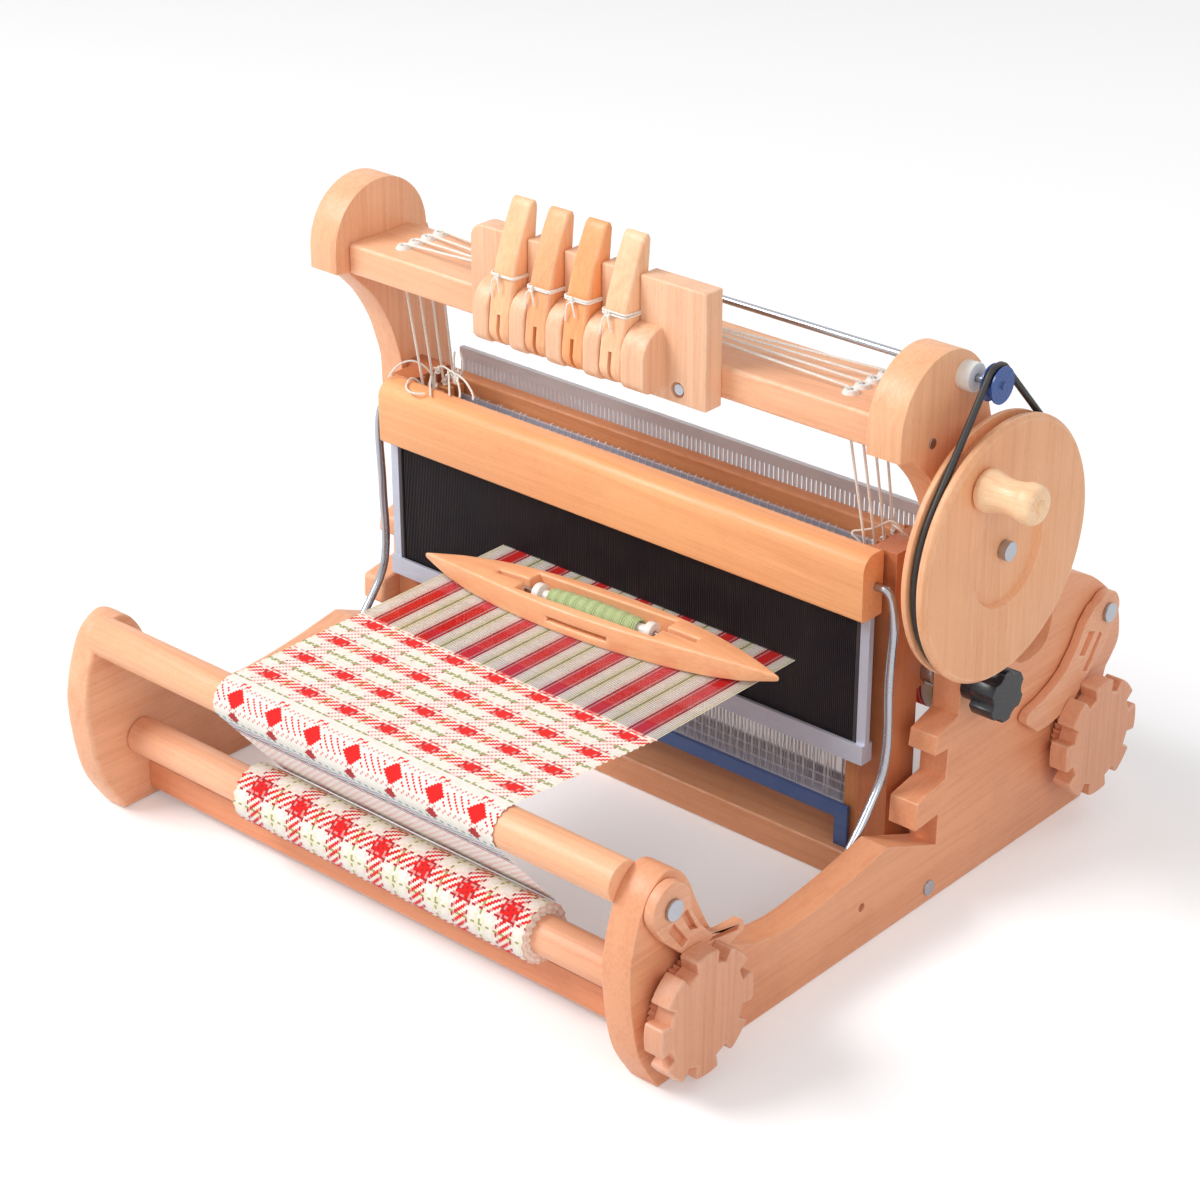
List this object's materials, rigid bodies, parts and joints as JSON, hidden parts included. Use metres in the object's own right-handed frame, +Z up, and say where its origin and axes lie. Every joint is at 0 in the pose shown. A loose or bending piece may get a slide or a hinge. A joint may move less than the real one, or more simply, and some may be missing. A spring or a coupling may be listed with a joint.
{
  "type": "table loom",
  "caption": "Wooden table loom with hand levers, lifting shafts, swinging beater, ratcheted beams, belt-driven bobbin winder and boat shuttle.",
  "frame": {"origin": "on the underside of the bottom stretcher, in the middle plane between the side frames, 260 mm behind the front of the front post", "axes": "+X to the right along the beams, +Y from the front beam to the back beam, +Z up"},
  "size_m": [0.5958, 0.5178, 0.433],
  "materials": {
    "beech": "satin",
    "beech_dark": "satin",
    "steel": "polished",
    "light_metal": "satin",
    "reed_steel": "satin",
    "heddle_wire": "satin",
    "guard_metal": "satin",
    "white_plastic": "gloss",
    "black_plastic": "gloss",
    "blue_plastic": "gloss",
    "belt_rubber": "matt",
    "cord": "matt",
    "web": "matt",
    "warp": "matt",
    "yarn": "matt"
  },
  "bodies": {
    "frame": {"side_frame_left": "beech", "side_frame_right": "beech", "breast_beam": "beech", "back_beam": "beech", "front_stretcher": "beech", "bottom_stretcher": "beech_dark", "fasteners": "steel", "castle_post_left": "beech", "castle_post_right": "beech", "shaft_guide_left": "beech_dark", "shaft_guide_right": "beech_dark", "castle_board": "beech", "castle_rail": "beech_dark", "raddle": "white_plastic", "cord_eyelets": "white_plastic", "lever_block": "beech", "lever_pin": "steel", "lift_cords": "cord", "shaft_guard": "guard_metal", "cloth_web": "web", "warp_threads": "warp", "drive_belt": "belt_rubber", "winder_bearings": "white_plastic"},
    "beater": {"beater_cap": "beech", "reed": "reed_steel", "beater_frame": "light_metal", "beater_arms": "steel"},
    "cloth_roller": {"cloth_beam": "beech", "cloth_handwheel": "beech", "cloth_roll": "web"},
    "warp_roller": {"warp_beam": "beech", "warp_handwheel": "beech", "warp_roll": "warp"},
    "cloth_pawl": {"cloth_pawl": "beech"},
    "warp_pawl": {"warp_pawl": "beech"},
    "winder_wheel": {"drive_wheel": "beech"},
    "winder_handle": {"crank_handle": "beech"},
    "winder_spindle": {"winder_spindle": "blue_plastic"},
    "clamp": {"clamp_knob": "black_plastic"},
    "shuttle": {"shuttle_body": "beech", "shuttle_pin": "steel"},
    "bobbin": {"bobbin": "white_plastic", "bobbin_yarn": "yarn"},
    "lever_1": {"lever_1": "beech"},
    "shaft_1": {"shaft_sides_1": "beech_dark", "heddle_bars_1": "heddle_wire", "heddles_1": "heddle_wire"},
    "lever_2": {"lever_2": "beech"},
    "shaft_2": {"shaft_sides_2": "beech_dark", "heddle_bars_2": "heddle_wire", "heddles_2": "heddle_wire"},
    "lever_3": {"lever_3": "beech"},
    "shaft_3": {"shaft_sides_3": "beech_dark", "heddle_bars_3": "heddle_wire", "heddles_3": "heddle_wire"},
    "lever_4": {"lever_4": "beech"},
    "shaft_4": {"shaft_sides_4": "beech_dark", "heddle_bars_4": "heddle_wire", "heddles_4": "heddle_wire"}
  },
  "joints": [
    {"name": "lever_1_pull", "type": "hinge", "parent": "frame", "child": "lever_1", "pos_m": [-0.0542, -0.0615, 0.348], "axis": [1, 0, 0], "range_deg": [0, 55], "deforming": ["lift_cords", "warp_threads"]},
    {"name": "shaft_1_lift", "type": "slide", "parent": "frame", "child": "shaft_1", "axis": [0, 0, 1], "range_m": [0, 0.034], "deforming": ["lift_cords", "warp_threads"]},
    {"name": "lever_2_pull", "type": "hinge", "parent": "frame", "child": "lever_2", "pos_m": [-0.0218, -0.0615, 0.348], "axis": [1, 0, 0], "range_deg": [0, 55], "deforming": ["lift_cords", "warp_threads"]},
    {"name": "shaft_2_lift", "type": "slide", "parent": "frame", "child": "shaft_2", "axis": [0, 0, 1], "range_m": [0, 0.034], "deforming": ["lift_cords", "warp_threads"]},
    {"name": "lever_3_pull", "type": "hinge", "parent": "frame", "child": "lever_3", "pos_m": [0.0106, -0.0615, 0.348], "axis": [1, 0, 0], "range_deg": [0, 55], "deforming": ["lift_cords", "warp_threads"]},
    {"name": "shaft_3_lift", "type": "slide", "parent": "frame", "child": "shaft_3", "axis": [0, 0, 1], "range_m": [0, 0.034], "deforming": ["lift_cords", "warp_threads"]},
    {"name": "lever_4_pull", "type": "hinge", "parent": "frame", "child": "lever_4", "pos_m": [0.043, -0.0615, 0.348], "axis": [1, 0, 0], "range_deg": [0, 55], "deforming": ["lift_cords", "warp_threads"]},
    {"name": "shaft_4_lift", "type": "slide", "parent": "frame", "child": "shaft_4", "axis": [0, 0, 1], "range_m": [0, 0.034], "deforming": ["lift_cords", "warp_threads"]},
    {"name": "beater_swing", "type": "hinge", "parent": "frame", "child": "beater", "pos_m": [0, -0.071, 0.031], "axis": [1, 0, 0], "range_deg": [0, 55]},
    {"name": "shuttle_push", "type": "slide", "parent": "frame", "child": "shuttle", "axis": [0, -1, 0], "range_m": [0, 0.157]},
    {"name": "bobbin_spin", "type": "hinge", "parent": "shuttle", "child": "bobbin", "pos_m": [0.028, -0.071, 0.1665], "axis": [0.9977, 0.068, 0], "continuous": true},
    {"name": "cloth_beam_turn", "type": "hinge", "parent": "frame", "child": "cloth_roller", "pos_m": [0, -0.2526, 0.0527], "axis": [1, 0, 0], "continuous": true},
    {"name": "warp_beam_turn", "type": "hinge", "parent": "frame", "child": "warp_roller", "pos_m": [0, 0.17, 0.062], "axis": [1, 0, 0], "continuous": true},
    {"name": "cloth_pawl_lift", "type": "hinge", "parent": "frame", "child": "cloth_pawl", "pos_m": [0.262, -0.27, 0.13], "axis": [1, 0, 0], "range_deg": [0, 40]},
    {"name": "warp_pawl_lift", "type": "hinge", "parent": "frame", "child": "warp_pawl", "pos_m": [0.262, 0.188, 0.148], "axis": [-1, 0, 0], "range_deg": [0, 40]},
    {"name": "winder_turn", "type": "hinge", "parent": "frame", "child": "winder_wheel", "pos_m": [0.283, 0.018, 0.2653], "axis": [1, 0, 0], "continuous": true},
    {"name": "winder_handle_spin", "type": "hinge", "parent": "winder_wheel", "child": "winder_handle", "pos_m": [0.312, -0.014, 0.3193], "axis": [1, 0, 0], "continuous": true},
    {"name": "winder_spindle_spin", "type": "hinge", "parent": "frame", "child": "winder_spindle", "pos_m": [0.262, 0.011, 0.3765], "axis": [1, 0, 0], "continuous": true},
    {"name": "clamp_turn", "type": "hinge", "parent": "frame", "child": "clamp", "pos_m": [0.27, 0.036, 0.153], "axis": [1, 0, 0], "range_deg": [0, 360]}
  ],
  "couplings": [
    {"joint": "lever_1_pull", "follows": "shaft_1_lift", "rad_per_m": 28.233},
    {"joint": "lever_2_pull", "follows": "shaft_2_lift", "rad_per_m": 28.233},
    {"joint": "lever_3_pull", "follows": "shaft_3_lift", "rad_per_m": 28.233},
    {"joint": "lever_4_pull", "follows": "shaft_4_lift", "rad_per_m": 28.233},
    {"joint": "shuttle_push", "follows": "beater_swing", "m_per_rad": 0.16251},
    {"joint": "winder_spindle_spin", "follows": "winder_turn", "ratio": 7.0684}
  ]
}
